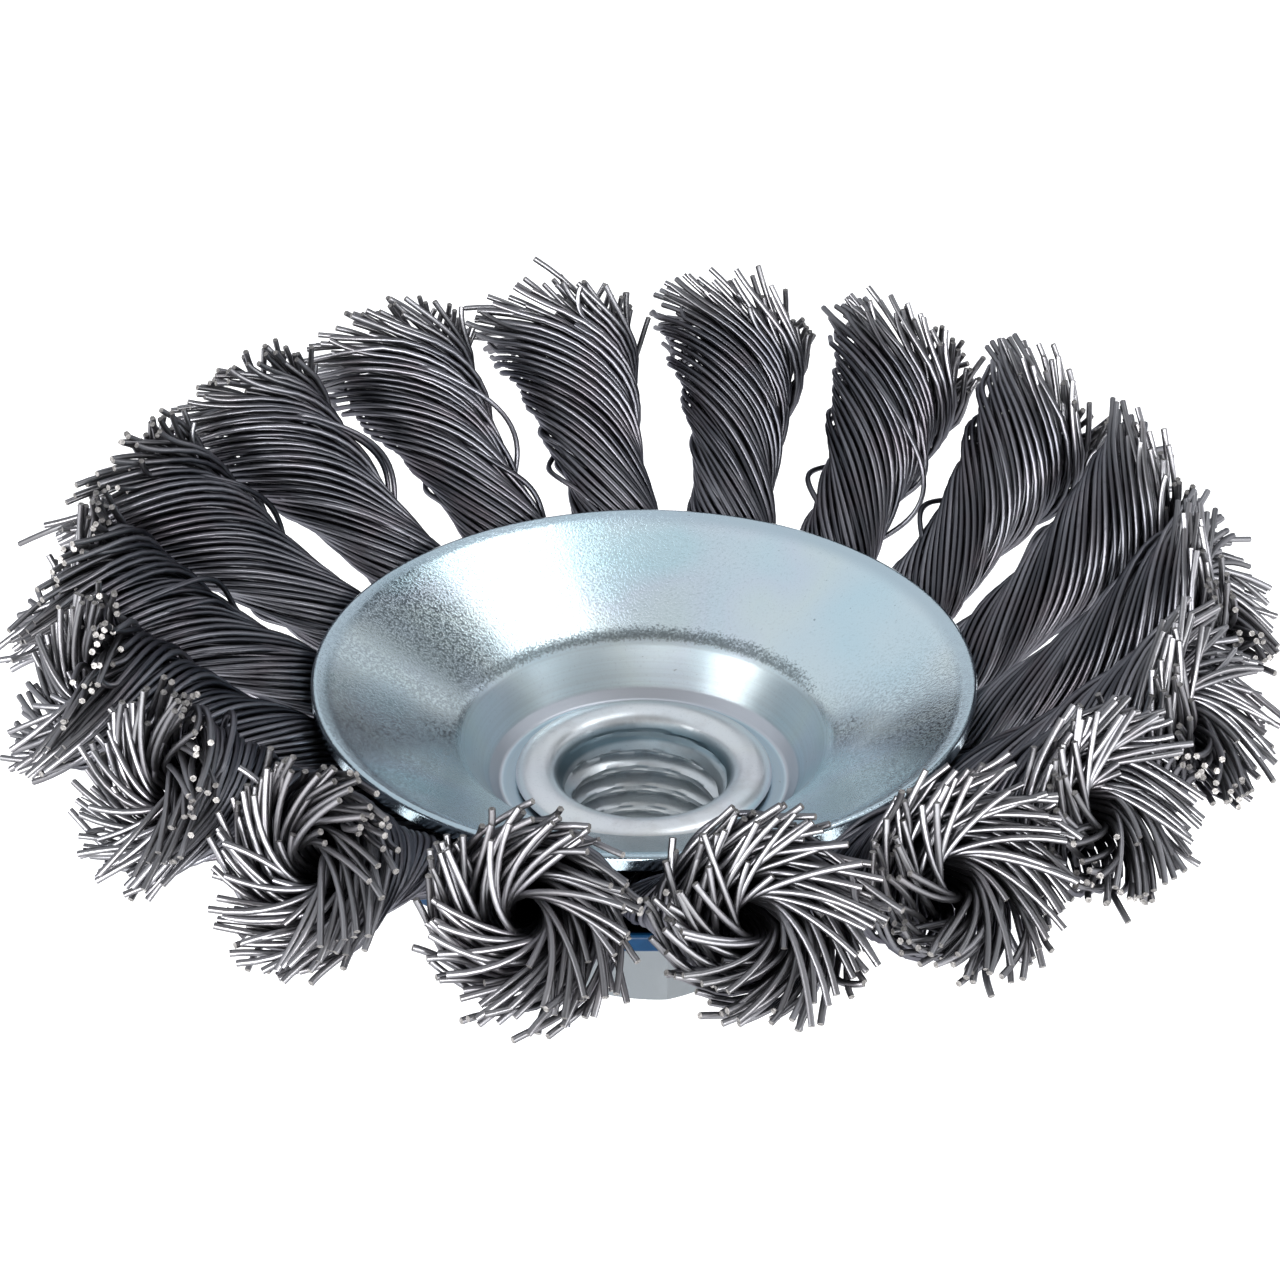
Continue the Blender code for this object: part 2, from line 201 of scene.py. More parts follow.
def dish_finish():
    """Pressed zinc plate: speckled, with painted shade at the rim, round the lip's foot and on the step, and
    painted reflections at the cone's foot, on the step and on the chamfer ring round the seat.
    """
    zinc, colour, cloud, grain, pits = zinc_finish("pressed zinc plate", (0.63, 0.785, 0.855), 0.45)
    radius, turn, height = zinc.polar()
    # Painted shade: the floor round the lip's foot is darkened
    lip_foot_shade = radius.before(11.3, 11.6)
    # Painted reflection: the chamfer ring between the seat and the step gets a greyer colour for what its slope
    # reflects
    chamfer_band_reflection = radius.past(11.5, 11.7) * radius.before(12.45, 12.7)
    step = radius.before(14.4, 15.2)
    back = zinc.maths("SINE", turn, 0.0).between(0.15, 0.65)
    # Painted dark reflection: the cone's foot is darkened, most on the back half of the dish
    foot_dark_reflection = radius.past(14.3, 15.0) * radius.before(15.1, 16.9) * (0.3 + 0.7 * back)
    # Painted shade: darker near the rim, where the knots rise past it
    rim = radius.past(24.4, 25.6)
    rings = zinc.noise(3000.0, 2.0, 0.6, places=zinc.node("ShaderNodeCombineXYZ", {}, {0: radius, 2: height}))
    # Painted reflection: darker rings across the step
    painted_reflection_bands = rings.between(0.42, 0.62) * step
    # Real speckle, with the painted dark reflection at the cone's foot mixed in
    speckle_and_dark_reflection = (grain * 0.7 + foot_dark_reflection * 0.40).between(0.56, 0.80)
    specks = pits.between(0.70, 0.76)
    scratches = zinc.noise(700.0, 4.0, 0.7).between(0.60, 0.72)

    # Painted shade near the rim
    colour = zinc.blend(rim * 0.8, colour, (0.47, 0.58, 0.65))
    # Painted shade round the lip's foot
    colour = zinc.blend(lip_foot_shade * 0.9, colour, (0.41, 0.52, 0.60))
    colour = zinc.blend(speckle_and_dark_reflection * 0.85, colour, (0.15, 0.18, 0.19))
    colour = zinc.blend(specks * 0.6, colour, (0.20, 0.24, 0.26))
    # Painted shade and painted reflection bands: the step is darkened and ringed
    colour = zinc.blend(step * 0.12 + painted_reflection_bands * 0.16, colour, (0.44, 0.48, 0.49))
    # Painted reflection on the chamfer ring
    colour = zinc.blend(chamfer_band_reflection * 0.9, colour, (0.56, 0.58, 0.63))
    gloss = 0.10 + cloud * 0.05 + scratches * 0.10 + foot_dark_reflection * 0.12 + chamfer_band_reflection * 0.06 + step * 0.20
    relief = grain.between(0.42, 0.72) * (1.0 - step * 0.7) + rings * step * 0.8
    return zinc.set(Base_Color=colour, Roughness=gloss, Normal=zinc.bump(relief, 0.0076))


def hub_finish():
    """Turned zinc: faint tool marks, worn patches, and painted shade in the bore and on the nut."""
    zinc, colour, cloud, grain, pits = zinc_finish("turned zinc hub", (0.79, 0.81, 0.83), 0.25)
    radius, turn, height = zinc.polar()
    marks = zinc.node("ShaderNodeCombineXYZ", {}, {0: radius, 1: turn * 0.0006, 2: height})
    lines = zinc.noise(5200.0, 3.0, 0.6, places=marks)
    worn = zinc.noise(260.0, 4.0, 0.6).between(0.50, 0.68)
    # Painted shade: the bore is darkened, most from its top mouth down
    bore_shade = radius.before(6.9, 7.3) * (0.15 + 0.85 * height.past(14.6, 15.0))
    # Painted shade: the nut's faces are darkened, for the shaded floor they reflect
    nut_shade = radius.past(8.9, 9.1) * height.before(9.3, 9.5)

    colour = zinc.blend(worn * 0.3, colour, (0.48, 0.46, 0.45))
    colour = zinc.blend(bore_shade * 0.9, colour, (0.20, 0.29, 0.34))
    colour = zinc.blend(nut_shade * 0.92, colour, (0.15, 0.166, 0.178))
    gloss = 0.22 + cloud * 0.08 + lines * 0.10 + worn * 0.06
    relief = grain * 0.10 + pits * 0.10 + lines * 0.15
    return zinc.set(Base_Color=colour, Roughness=gloss, Normal=zinc.bump(relief, 0.011))


def lacquer_finish():
    lacquer = Finish("blue stoved lacquer", Coat_Roughness=0.14, Specular_IOR_Level=0.12)
    peel = lacquer.noise(1400.0, 2.0)
    dust = lacquer.noise(6000.0, 3.0, 0.7)
    return lacquer.set(
        Base_Color=lacquer.blend(peel.between(0.3, 0.8) * 0.6, (0.0002, 0.012, 0.034), (0.0004, 0.017, 0.048)),
        Roughness=0.30 + dust * 0.16,
        Coat_Weight=0.02 + peel * 0.04,
        Normal=lacquer.bump(peel + dust * 0.15, 0.010),
    )


def disc_finish():
    steel = Finish("rolled disc steel", Metallic=1.0)
    scale = steel.noise(300.0, 5.0, 0.6)
    colour = steel.blend(scale.between(0.3, 0.7), (0.16, 0.16, 0.17), (0.36, 0.35, 0.35))
    return steel.set(Base_Color=colour, Roughness=0.36 + scale * 0.2, Normal=steel.bump(scale, 0.02))


def wire_finish():
    """Hardened drawn wire: dark and smooth, its sheen differs from wire to wire, and a painted highlight lightens
    its tip.
    """
    wire = Finish("hardened drawn wire", Metallic=1.0, Specular_Tint=(0.45, 0.45, 0.48))
    tone = wire.node("ShaderNodeAttribute", {"attribute_name": "wire_tone"}, {}, "Fac")
    along = wire.node("ShaderNodeAttribute", {"attribute_name": "wire_along"}, {}, "Fac")
    scale = wire.noise(1900.0, 2.0, 0.6)
    draw = wire.noise(240.0, 2.0, 0.5)

    colour = wire.blend(tone, (0.063, 0.065, 0.075), (0.197, 0.198, 0.220))
    colour = wire.blend(draw.between(0.45, 0.75) * 0.5, colour, (0.125, 0.108, 0.120))
    colour = wire.blend(scale.between(0.60, 0.75) * 0.35, colour, (0.045, 0.042, 0.047))
    # Painted highlight: each wire is lightened over its last fifth towards the tip
    colour = wire.blend(along.between(0.80, 1.0) * 0.40, colour, (0.36, 0.355, 0.36))
    gloss = 0.30 + tone * 0.06 + scale * 0.06
    return wire.set(Base_Color=colour, Roughness=gloss, Normal=wire.bump(scale, 0.005))


def cut_finish():
    cut = Finish("sheared wire ends", Metallic=1.0)
    burr = cut.noise(5000.0, 3.0, 0.7)
    colour = cut.blend(burr.between(0.35, 0.65), (0.30, 0.29, 0.285), (0.12, 0.115, 0.11))
    return cut.set(Base_Color=colour, Roughness=0.45 + burr * 0.2, Normal=cut.bump(burr, 0.03))


# Pieces in general

FILLET_STEPS = 6
SHEET_EDGE = 0.35
NEARLY_STRAIGHT = math.radians(89.0)


def mesh_piece(name, places, faces, finishes, smooth_faces=None):
    """An object from points in millimetres. Its smooth faces come first, the rest have the last finish."""
    mesh = bpy.data.meshes.new(name)
    mesh.from_pydata((np.asarray(places) * MM).tolist(), [], faces)
    for finish in finishes:
        mesh.materials.append(finish)
    if smooth_faces is None:
        smooth_faces = len(faces)
    rounded = np.arange(len(faces)) < smooth_faces
    mesh.polygons.foreach_set("use_smooth", rounded)
    mesh.polygons.foreach_set("material_index", np.where(rounded, 0, len(finishes) - 1).astype(np.int32))
    mesh.update()
    piece = bpy.data.objects.new(name, mesh)
    bpy.context.scene.collection.objects.link(piece)
    return piece


def fitted(piece, node):
    """Rides with the brush's one body and stands for a CAD node."""
    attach(piece, "root")
    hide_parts(node)


def filleted(points, radii):
    """An outline with each inner corner replaced by an arc of the given radius."""
    made = [Vector(points[0])]
    for i in range(1, len(points) - 1):
        before, corner, after = (Vector(points[j]) for j in (i - 1, i, i + 1))
        back, on = (before - corner).normalized(), (after - corner).normalized()
        half = math.acos(max(-1.0, min(1.0, back.dot(on)))) / 2
        if radii[i] <= 0.0 or half > NEARLY_STRAIGHT:
            made.append(corner)
            continue
        setback = radii[i] / math.tan(half)
        centre = corner + (back + on).normalized() * radii[i] / math.sin(half)
        first, last = corner + back * setback - centre, corner + on * setback - centre
        for step in range(FILLET_STEPS + 1):
            made.append(centre + first.lerp(last, step / FILLET_STEPS).normalized() * radii[i])
    return [*made, Vector(points[-1])]


def sheet_section(upper, bends):
    """A closed outline round a bent sheet: its upper face outwards, its rim, and its lower face back."""
    under = []
    for i, point in enumerate(upper):
        ways = [
            (Vector(upper[j + 1]) - Vector(upper[j])).normalized()
            for j in (i - 1, i)
            if 0 <= j < len(upper) - 1
        ]
        along = sum(ways, Vector((0.0, 0.0))).normalized()
        under.append(Vector(point) + Vector((along.y, -along.x)) * SHEET / along.dot(ways[0]))

    # The rim is trimmed upright
    rim, inner = under[-1], under[-2]
    slope = (rim.y - inner.y) / (rim.x - inner.x)
    rim_foot = Vector((upper[-1][0], rim.y + slope * (upper[-1][0] - rim.x)))
    corners = [*upper, rim_foot, *under[-2::-1]]
    return filleted(corners, [*bends[:-1], SHEET_EDGE, SHEET_EDGE, *bends[-2::-1]])


def turned_piece(name, rings, segments, finish, sharp=30.0):
    """A closed turned body. A ring is (radius, height) or a function of the angles that gives them."""
    angles = np.arange(segments) * math.tau / segments
    places = []
    for ring in rings:
        if callable(ring):
            radius, height = ring(angles)
        else:
            radius, height = np.full(segments, ring[0]), np.full(segments, ring[1])
        places.append(np.stack([radius * np.cos(angles), radius * np.sin(angles), height], 1))
    faces = []
    for i in range(len(rings)):
        j = (i + 1) % len(rings)
        for k in range(segments):
            n = (k + 1) % segments
            faces.append((i * segments + k, i * segments + n, j * segments + n, j * segments + k))
    piece = mesh_piece(name, np.concatenate(places), faces, [finish])
    piece.data.set_sharp_from_angle(angle=math.radians(sharp))
    return piece


# Hub

NUT_FLATS = 19.0
NUT_HEIGHT = 9.3
NUT_CORNER = math.radians(-80.5)
NUT_FACE = 9.1
NUT_CHAMFER = math.tan(math.radians(30.0))
SLEEVE = 8.8
THREAD_CORE = 5.92
THREAD_ROOT = 7.0
THREAD_PITCH = 2.0
THREAD_FLANK = math.sqrt(3.0)  # rise of a 60 degree thread's flank
MOUTH = 7.15
TOP_SINK = 0.42  # slopes of the countersinks at the bore's two ends
FOOT_SINK = 0.9
LIP_FOOT = 15.9
LIP_RADIUS = 10.45
LIP_HEIGHT = 1.05
LIP_SEAM = 0.12
LIP_STEPS = 12
LIP_START = 0.04  # where the lip's round starts and how far it goes, as shares of a half turn
LIP_ROUND = 0.88
LIP_POWER = 0.8  # under 1, the lip is flatter than a round
THREAD_TOP = LIP_FOOT + 0.25
THREAD_ROWS = 112
BORE_EDGE = 0.02
HUB_SEGMENTS = 144
HUB_SHARP = 40.0


def nut_edge(face, way):
    """Where the chamfer cuts the nut's flats, nearer the face at their middle than at the corners."""

    def ring(angles):
        sector = math.tau / 6
        radius = NUT_FLATS / 2 / np.cos((angles - NUT_CORNER) % sector - sector / 2)
        return radius, face + way * (radius - NUT_FACE) * NUT_CHAMFER

    return ring


def bore_ring(height):
    """The thread's turns at this height, cut back by the countersink at either end."""

    def ring(angles):
        turn = (height / THREAD_PITCH - angles / math.tau) % 1.0
        off_root = np.abs(turn - 0.5) * THREAD_PITCH
        flank = THREAD_ROOT - (off_root - THREAD_PITCH / 16) * THREAD_FLANK
        thread = np.clip(flank, THREAD_CORE, THREAD_ROOT)
        depth = TOP_SINK * (THREAD_TOP - height) if height > THREAD_TOP / 2 else FOOT_SINK * height
        return np.maximum(thread, MOUTH - depth), np.full(len(angles), height)

    return ring


def hub(finish):
    roll = (LIP_RADIUS - MOUTH) / 2
    lip = []
    for step in range(LIP_STEPS + 1):
        angle = math.pi * (LIP_START + LIP_ROUND * step / LIP_STEPS)
        rise = LIP_HEIGHT * math.sin(angle) ** LIP_POWER
        lip.append((MOUTH + roll * (1.0 + math.cos(angle)), LIP_FOOT + rise))
    rings = [
        (MOUTH + BORE_EDGE, 0.0),
        (NUT_FACE, 0.0),
        nut_edge(0.0, 1),
        nut_edge(NUT_HEIGHT, -1),
        (NUT_FACE, NUT_HEIGHT),
        (SLEEVE, NUT_HEIGHT),
        (SLEEVE, LIP_FOOT),
        (LIP_RADIUS - LIP_SEAM, LIP_FOOT),
        *lip,
        *(bore_ring(height) for height in np.linspace(THREAD_TOP, 0.0, THREAD_ROWS)),
    ]
    return turned_piece("turned_hub", rings, HUB_SEGMENTS, finish, HUB_SHARP)


# Plates, as (radius, height) along the upper face, and the radius of each corner's bend

FRONT_SECTION = [(9.1, 15.6), (11.75, 15.6), (12.55, 16.3), (14.85, 19.95), (25.3, 25.65), (26.5, 26.12)]
FRONT_BENDS = [0.0, 0.5, 0.9, 3.4, 3.0, 0.35]
BACK_SECTION = [(9.1, 11.0), (14.4, 11.0), (15.6, 11.5), (26.6, 19.3)]
BACK_BENDS = [0.0, 1.0, 1.0, 0.3]
PLATE_SEGMENTS = 192


def plate(name, section, bends, finish):
    rings = [(point.x, point.y) for point in sheet_section(section, bends)]
    return turned_piece(name, rings, PLATE_SEGMENTS, finish)


# Knots

SEED = 4100
WIRE = 0.5
WIRE_SIDES = 6
WIRE_SHARP = math.radians(75.0)
OUTER_LAYERS = ((1.0, 29), (0.78, 26))  # share of the way out, wires
INNER_LAYERS = ((0.55, 24), (0.3, 20), (0.0, 16))
OUTER_STATIONS = 24
INNER_STATIONS = 11
TIP_STATIONS = 9
LOOSE_STATIONS = 34

# The loop: the disc's hole, the foot of the bundle and the ends of the legs, along the knot's axis from its
# start, the legs' room over the disc, and how much nearer together they are than the wires in the bundle
HOLE = -11.1
ROOT = -6.0
LEG_FOOT = -6.2
LEG_HEAD = -3.0
DISC_CLEAR = 0.9
LEG_WIDTH = 0.62

# How the bundle is twisted, gripped and flared
STRANDS = 6
STRAND_RIDGE = 0.05
SWELLINGS = (2, 3, 5)  # waves round the bundle
SWELLING = 0.028
RIDGE_RUN = 4.0
LAY = 0.20
LAY_GAIN = 0.8
FLARE_START = 0.4
GRIP_WIDTH = 4.1
GRIP_SQUASH = 2.3
SQUASH_RUN = 8.5
FLARE_WIDTH = 7.8
FLARE_POWER = 2.8
HOLLOW = 0.35
HOLLOW_GAIN = 1.45
WAIST = 8.0
WAIST_RUN = 5.0
WAIST_DEPTH = 0.6
SWEEP_POWER = 1.3

# The tip: where the wires come free, how far along and aside they reach, and how they turn
FREE = 20.4
FREE_SHARE = 0.1  # the outer wires come free a little earlier
TIP_REACH = 0.2
TIP_DEPTH = 0.9
TIP_RADIUS = 6.4
TIP_WIDTH = 1.15
TIP_TWIST = 0.35
TUFT_LENGTH = 0.35
TUFT_WIDTH = 0.25
TUFT_GATHER = 0.55
TUFT_TURNS = (5, 9, 13)

# How uneven the wires are: in their places, and at the tip in length, in width and in turn
PLACE_SPREAD = 0.16
SHARE_SPREAD = 0.015
SHARE_LOSS = 0.03
FREE_SPREAD = 0.3
LENGTH_SPREAD = 0.5
WIDTH_SPREAD = 0.4
TURN_SPREAD = math.radians(8.0)
SHORT_WIRES = 0.15
SHORT_BY = (0.25, 0.55)
WILD_WIRES = 0.10
WILD_GAIN = 2.0
TONE_POWER = 1.5  # over 1, most wires are dark and a few bright

# How far tips stand from their places in the ring, in degrees
TIP_OFFSETS = {1: 0.7, 2: -0.5, 3: -3.2, 4: -3.6, 16: -0.1, 17: -0.8, 18: 0.4}

# Knots whose wires are cut longer, in millimetres
EXTRA_LENGTHS = {7: 0.2, 8: 0.4, 9: 0.4, 10: 0.4, 11: 0.4, 12: 0.2}

# Wires that stand off their knot: where they leave it and return, how far, towards which side, how bent
LOOSE_WIRES = {
    1: [(14.5, 22.0, 1.9, 95.0, 1.0), (12.0, 19.0, 1.0, 60.0, 1.0)],
    7: [(6.0, 11.5, 1.5, 20.0, 0.5)],
    8: [(6.0, 11.5, 1.5, 5.0, 0.45), (4.0, 17.5, 2.0, 178.0, 1.0)],
    10: [(4.5, 11.0, 1.3, 8.0, 0.8), (9.5, 13.5, 0.7, 5.0, 1.0)],
    11: [(5.0, 17.5, 1.6, 178.0, 1.0)],
    12: [(5.0, 17.0, 1.7, 175.0, 1.0), (7.0, 16.0, 1.1, 168.0, 1.0)],
    13: [(6.0, 17.0, 1.5, 172.0, 1.0), (9.0, 17.5, 1.1, 160.0, 0.8)],
    14: [(8.0, 17.0, 1.2, 100.0, 1.0)],
    16: [(13.0, 20.0, 1.2, 100.0, 1.0)],
}
SMALL_LOOSE_WIRES = 3
LOOSE_DIVE = 1.5
LOOSE_SINK = 0.3


def smooth(share):
    share = np.clip(share, 0.0, 1.0)
    return share * share * (3.0 - 2.0 * share)


def bent(share, start):
    """From 0 to 1 with this slope at the start."""
    return start * share + (1.0 - start) * share**2


def turn_at(along):
    """How far the wires have turned at this place, in radians."""
    flare = np.clip(along / KNOT_LENGTH - FLARE_START, 0.0, None) / (1.0 - FLARE_START)
    return LAY * (along - ROOT) + LAY_GAIN * flare**2


def bundle_place(along, share, angle, strands):
    """Sideways and upward place of a wire, in a bundle with a waist that widens to a hollow flared tip."""
    reach = np.clip(along / KNOT_LENGTH, 0.0, None)
    waist = WAIST_DEPTH * np.exp(-(((along - WAIST) / WAIST_RUN) ** 2))
    wide = GRIP_WIDTH + (FLARE_WIDTH - GRIP_WIDTH) * reach**FLARE_POWER - waist - WIRE / 2
    thick = wide - GRIP_SQUASH * np.exp(-along / SQUASH_RUN)
    hollow = HOLLOW + HOLLOW_GAIN * reach
    ridge = 1.0 + strands(angle) * smooth(along / RIDGE_RUN) * share
    turned = angle - turn_at(along)
    side = (hollow + (wide * ridge - hollow) * share) * np.cos(turned)
    up = (hollow + (thick * ridge - hollow) * share) * np.sin(turned)
    return side, up


def strand_ridges(rng):
    """A knot's strands, and its own uneven swellings, as a share of the bundle's radius."""
    waves = [(count, rng.uniform(0.3, 1.0), rng.uniform(0.0, math.tau)) for count in SWELLINGS]

    def strands(angle):
        uneven = sum(size * np.sin(count * angle + start) for count, size, start in waves)
        return STRAND_RIDGE * np.cos(STRANDS * angle) + SWELLING * uneven

    return strands


def loose_wires(rng, number):
    """The knot's loose wires in the photograph, and a few small ones anywhere."""
    wires = list(LOOSE_WIRES.get(number, ()))
    for _ in range(SMALL_LOOSE_WIRES):
        start = rng.uniform(2.0, 12.0)
        end = start + rng.uniform(5.0, 8.0)
        wires.append((start, end, rng.uniform(0.25, 0.8), rng.uniform(0.0, 360.0), 1.0))
    return wires


def loose_path(strands, start, end, height, way, bend):
    """A wire of the outer layer that stands off the bundle between two places."""
    along = np.linspace(start - LOOSE_DIVE, end + LOOSE_DIVE, LOOSE_STATIONS)[None, :]
    middle = (start + end) / 2
    angle = math.radians(way) + turn_at(middle)
    under = np.clip(np.abs(along - middle) - (end - start) / 2, 0.0, None) / LOOSE_DIVE
    side, up = bundle_place(along, 1.0 - LOOSE_SINK * smooth(under), angle, strands)
    share = np.clip((along - start) / (end - start), 0.0, 1.0)
    lift = 1.0 + height * np.sin(math.pi * share) ** (2.0 * bend) / np.hypot(side, up)
    return np.stack([along, side * lift, up * lift], -1)


def layer_places(rng, layers):
    """How far out and at which angle each wire of the layers lies."""
    shares, angles = [], []
    for share, count in layers:
        start = rng.uniform(0.0, math.tau)
        places = np.arange(count) + rng.uniform(-PLACE_SPREAD, PLACE_SPREAD, count)
        shares.append(np.full(count, share))
        angles.append(start + places * math.tau / count)
    return np.concatenate(shares)[:, None], np.concatenate(angles)[:, None]


def tip_places(rng, share, angle, free, side, up, extra):
    """Where each wire goes past the flare's foot, where nothing holds it. The outer ones swirl on, and the
    inner ones leave the hollow nearly straight, at a tangent to it."""

    def draw(spread):
        return rng.normal(0.0, spread, share.shape)

    short = np.where(rng.random(share.shape) < SHORT_WIRES, rng.uniform(*SHORT_BY, share.shape), 0.0)
    wild = np.where(rng.random(share.shape) < WILD_WIRES, WILD_GAIN, 1.0)
    tuft = np.cos(STRANDS * angle) * share
    length = KNOT_LENGTH + extra + TIP_REACH - TIP_DEPTH * share + TUFT_LENGTH * tuft
    reach = length + draw(LENGTH_SPREAD) * wild - free
    root = np.hypot(side, up)
    rim = TIP_RADIUS + TIP_WIDTH * share + TUFT_WIDTH * tuft + draw(WIDTH_SPREAD) * wild
    tip = np.linspace(0.0, 1.0, TIP_STATIONS + 1)[None, 1:] * (1.0 - short)
    aside = np.sqrt(rim**2 - root**2) * bent(tip, 0.35)
    spread = root + (rim - root) * bent(tip, 0.3)
    radius = np.hypot(root, aside) * (1.0 - share) + spread * share
    swirl = (turn_at(free + 1.0) - turn_at(free)) * reach * (tip - 0.3 * tip**2)
    turned = (np.arctan2(aside, root) + TIP_TWIST * tip) * (1.0 - share) + swirl * share
    clumps = [(turns, rng.uniform(0.5, 1.0), rng.uniform(0.0, math.tau)) for turns in TUFT_TURNS]
    gather = sum(size * np.sin(turns * angle + start) / turns for turns, size, start in clumps)
    turned = turned + (draw(TURN_SPREAD) * wild - TUFT_GATHER * gather) * tip
    bearing = np.arctan2(up, side) - turned
    return free + reach * tip, radius * np.cos(bearing), radius * np.sin(bearing)


def loop_path(side, up):
    """Each wire from the disc's hole, over or under the disc, to where the bundle starts."""
    sign = np.where(up >= 0.0, 1.0, -1.0)
    rank = np.clip(np.abs(up) / 2.0, 0.0, 1.0)
    zero = np.zeros_like(rank)
    leg_side = side * LEG_WIDTH
    leg_up = sign * (DISC_CLEAR + 0.3 + 0.9 * rank)
    points = [
        (HOLE + 0.9 - 1.8 * rank, leg_side * 0.5, zero),
        (HOLE + 1.25 - 2.2 * rank, leg_side * 0.55, sign * (DISC_CLEAR + 0.1 + 0.55 * rank)),
        (HOLE + 2.6 - 1.0 * rank, leg_side * 0.8, leg_up),
        (zero + LEG_FOOT, leg_side, leg_up),
        (zero + LEG_HEAD, (leg_side + side) / 2, (leg_up + up) / 2),
    ]
    return np.stack([np.concatenate(point, 1) for point in points], 1)


def wire_paths(rng, strands, layers, stations, extra):
    """Each wire's path as (along, side, up), from the loop hole to its tip."""
    share, angle = layer_places(rng, layers)
    share = share + rng.normal(0.0, SHARE_SPREAD, share.shape) - SHARE_LOSS * rng.random(share.shape)
    free = FREE - FREE_SHARE * share + rng.normal(0.0, FREE_SPREAD, share.shape)
    along = np.linspace(0.0, 1.0, stations)[None, :] * free
    side, up = bundle_place(along, share, angle, strands)
    tip = tip_places(rng, share, angle, free, side[:, -1:], up[:, -1:], extra)
    body = [np.concatenate(pair, 1) for pair in zip((along, side, up), tip)]
    return np.concatenate([loop_path(side[:, :1], up[:, :1]), np.stack(body, -1)], 1)


def knot_places(paths, tip_offset):
    """The paths' points in millimetres, for a knot whose root is at +X."""
    along, side, up = paths[..., 0], paths[..., 1], paths[..., 2]
    reach = AXIS_START[0] + KNOT_LENGTH * math.cos(SLOPE)
    swing = np.clip(along, 0.0, None) / KNOT_LENGTH
    drift = reach * (math.sin(SWEEP) + math.radians(tip_offset)) * swing**SWEEP_POWER
    x = AXIS_START[0] + along * math.cos(SLOPE) - up * math.sin(SLOPE)
    z = AXIS_START[1] + along * math.sin(SLOPE) + up * math.cos(SLOPE)
    return np.stack([x, side + drift, z], -1)


def wire_tubes(lines, first_point):
    """Points, side faces and end faces of a round wire along each line."""
    count, stations, _ = lines.shape
    ways = np.gradient(lines, axis=1)
    ways /= np.linalg.norm(ways, axis=-1, keepdims=True)
    normal = np.cross(ways[:, 0], (0.0, 1.0, 0.1))
    turns = (np.arange(WIRE_SIDES) * math.tau / WIRE_SIDES)[None, :, None]
    rings = []
    for k in range(stations):
        normal = normal - ways[:, k] * np.sum(normal * ways[:, k], -1, keepdims=True)
        normal /= np.linalg.norm(normal, axis=-1, keepdims=True)
        other = np.cross(ways[:, k], normal)
        circle = normal[:, None] * np.cos(turns) + other[:, None] * np.sin(turns)
        rings.append(lines[:, k, None] + WIRE / 2 * circle)
    index = first_point + np.arange(count * stations * WIRE_SIDES).reshape(count, stations, WIRE_SIDES)
    here, there = index[:, :-1], index[:, 1:]
    quads = np.stack([here, np.roll(here, -1, 2), np.roll(there, -1, 2), there], -1).reshape(-1, 4)
    ends = np.concatenate([index[:, -1], index[:, 0, ::-1]])
    return np.stack(rings, 1).reshape(-1, 3), quads.tolist(), ends.tolist()


def knot(number, finishes):
    rng = np.random.default_rng(SEED + number)
    strands = strand_ridges(rng)
    loose = loose_wires(rng, number)
    extra = EXTRA_LENGTHS.get(number, 0.0)
    groups = [
        wire_paths(rng, strands, OUTER_LAYERS, OUTER_STATIONS, extra),
        wire_paths(rng, strands, INNER_LAYERS, INNER_STATIONS, extra),
        np.concatenate([loose_path(strands, *wire) for wire in loose]),
    ]
    turn = math.radians(FIRST_TIP + PITCH * (number - 1)) - SWEEP
    ahead, aside = math.cos(turn), math.sin(turn)
    spin = np.array([[ahead, aside, 0.0], [-aside, ahead, 0.0], [0.0, 0.0, 1.0]])

    places, quads, ends, tones, alongs = [], [], [], [], []
    points = 0
    for paths in groups:
        lines = knot_places(paths, TIP_OFFSETS.get(number, 0.0)) @ spin
        tube, sides, caps = wire_tubes(lines, points)
        points += len(tube)
        places.append(tube)
        quads += sides
        ends += caps
        tones.append(np.repeat(rng.random(len(paths)) ** TONE_POWER, paths.shape[1] * WIRE_SIDES))
        alongs.append(np.repeat(np.clip(paths[..., 0].ravel() / KNOT_LENGTH, 0.0, 1.0), WIRE_SIDES))

    piece = mesh_piece(f"wires_{number:02d}", np.concatenate(places), quads + ends, finishes, len(quads))
    piece.data.set_sharp_from_angle(angle=WIRE_SHARP)
    for name, values in (("wire_tone", tones), ("wire_along", alongs)):
        stored = piece.data.attributes.new(name, "FLOAT", "POINT")
        stored.data.foreach_set("value", np.concatenate(values).astype(np.float32))
    fitted(piece, f"knot_{number:02d}")


# Studio

ROOM_COLOUR = (0.77, 0.80, 0.84)

# Darker parts of the room: towards where, degrees from there to where they are full and where they end, colour
ROOM_SHADES = [
    ((0.51, 0.52, 0.69), 6.0, 16.0, (0.13, 0.14, 0.15)),
    ((0.36, 0.89, 0.27), 4.0, 13.0, (0.16, 0.19, 0.20)),
    ((0.0, -0.60, 0.80), 12.0, 42.0, (0.33, 0.34, 0.35)),
    ((0.0, -1.0, 0.10), 35.0, 90.0, (0.48, 0.48, 0.49)),
]

# Soft lights: name, towards where, distance, width and height in millimetres, and power in watts
SOFTBOXES = [
    ("overhead right", (0.355, 0.20, 0.91), 700.0, 222.0, 238.0, 0.42),
    ("right", (0.91, 0.29, 0.25), 800.0, 260.0, 180.0, 0.35),
    ("front", (-0.12, -0.97, 0.19), 800.0, 1500.0, 300.0, 26.0),
    ("front left", (-0.82, -0.50, 0.24), 800.0, 400.0, 330.0, 4.0),
    ("front right", (0.86, -0.50, 0.18), 800.0, 420.0, 280.0, 2.8),
]
FLOOR_HALF = 6000.0


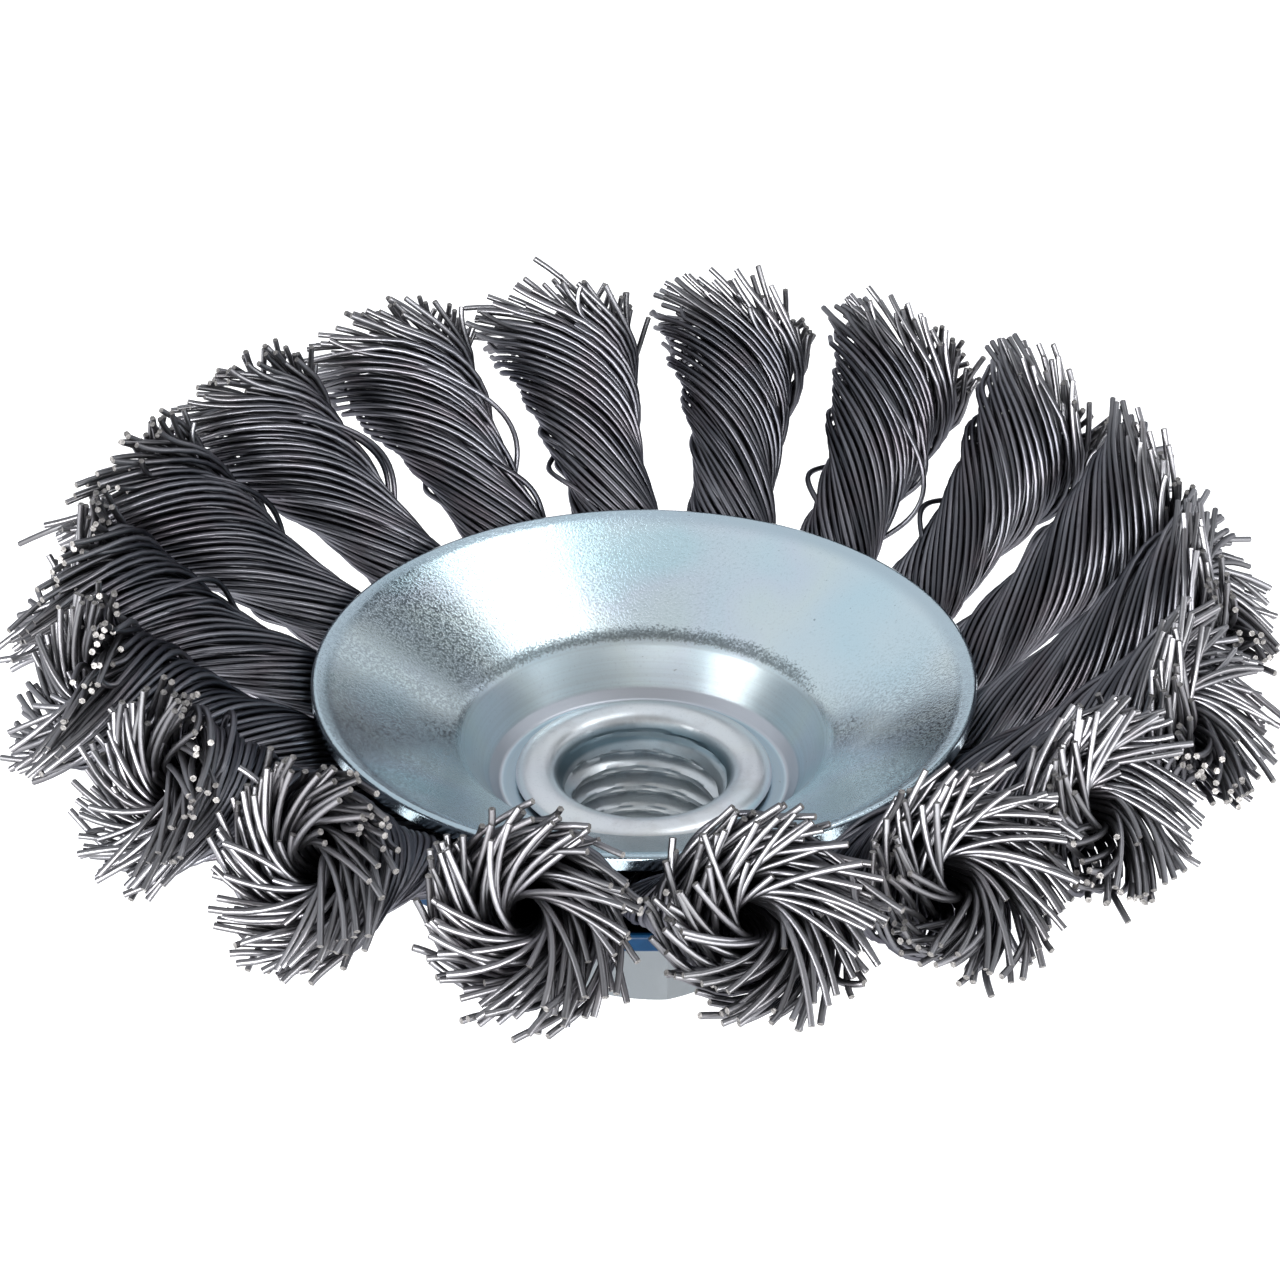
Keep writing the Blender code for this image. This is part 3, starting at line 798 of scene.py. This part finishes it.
def room():
    """A pale room, darker in front, overhead in front, and where the dish's dark parts reflect it."""
    world = bpy.data.worlds.new("pale room")
    world.use_nodes = True
    bpy.context.scene.world = world
    nodes = Nodes(world.node_tree)
    way = nodes.node("ShaderNodeTexCoord", {}, {}, "Generated")
    colour = ROOM_COLOUR
    for towards, full, end, shade in ROOM_SHADES:
        facing = nodes.vector("DOT_PRODUCT", way, tuple(Vector(towards).normalized()), "Value")
        shaded = facing.between(math.cos(math.radians(end)), math.cos(math.radians(full)))
        colour = nodes.blend(shaded, colour, shade)
    nodes.put(world.node_tree.nodes["Background"].inputs["Color"], colour)


def white_floor():
    matt = Finish(
        "lit white floor",
        Roughness=0.9,
        Specular_IOR_Level=0.1,
        Emission_Color=(1.0, 1.0, 1.0),
        Emission_Strength=0.50,
    )
    matt.set(Base_Color=matt.blend(matt.noise(30.0, 2.0), (0.88, 0.88, 0.88), (0.91, 0.91, 0.91)))
    corners = [(x * FLOOR_HALF, y * FLOOR_HALF, 0.0) for x, y in ((-1, -1), (1, -1), (1, 1), (-1, 1))]
    floor = mesh_piece("floor", corners, [(0, 1, 2, 3)], [matt.material])


def softbox(name, towards, distance, width, height, power):
    light = bpy.data.lights.new(name, "AREA")
    light.shape = "RECTANGLE"
    light.size, light.size_y = width * MM, height * MM
    light.energy = power
    lamp = bpy.data.objects.new(name, light)
    way = Vector(towards).normalized()
    lamp.location = (CAMERA_TARGET + way * distance) * MM
    lamp.rotation_euler = way.to_track_quat("Z", "Y").to_euler()
    bpy.context.scene.collection.objects.link(lamp)


def photo_camera():
    camera = bpy.data.objects.new("camera", bpy.data.cameras.new("camera"))
    camera.data.lens = CAMERA_LENS
    camera.data.sensor_width = CAMERA_SENSOR
    camera.data.clip_start = CAMERA_NEAR
    back = Vector((0.0, -math.cos(CAMERA_DROP), math.sin(CAMERA_DROP)))
    camera.location = (CAMERA_TARGET + back * CAMERA_DISTANCE) * MM
    camera.rotation_euler = (math.pi / 2 - CAMERA_DROP, 0.0, 0.0)
    bpy.context.scene.collection.objects.link(camera)
    return camera


wire = wire_finish()
cut = cut_finish()
for number in range(1, KNOTS + 1):
    knot(number, [wire, cut])
fitted(hub(hub_finish()), "threaded_hub")
fitted(plate("dish", FRONT_SECTION, FRONT_BENDS, dish_finish()), "front_plate")
fitted(plate("blue_plate", BACK_SECTION, BACK_BENDS, lacquer_finish()), "back_plate")
bpy.data.objects["holding_disc"].material_slots[0].material = disc_finish()

room()
white_floor()
for light in SOFTBOXES:
    softbox(*light)
bpy.context.scene.camera = photo_camera()
bpy.context.scene.view_settings.view_transform = "Standard"
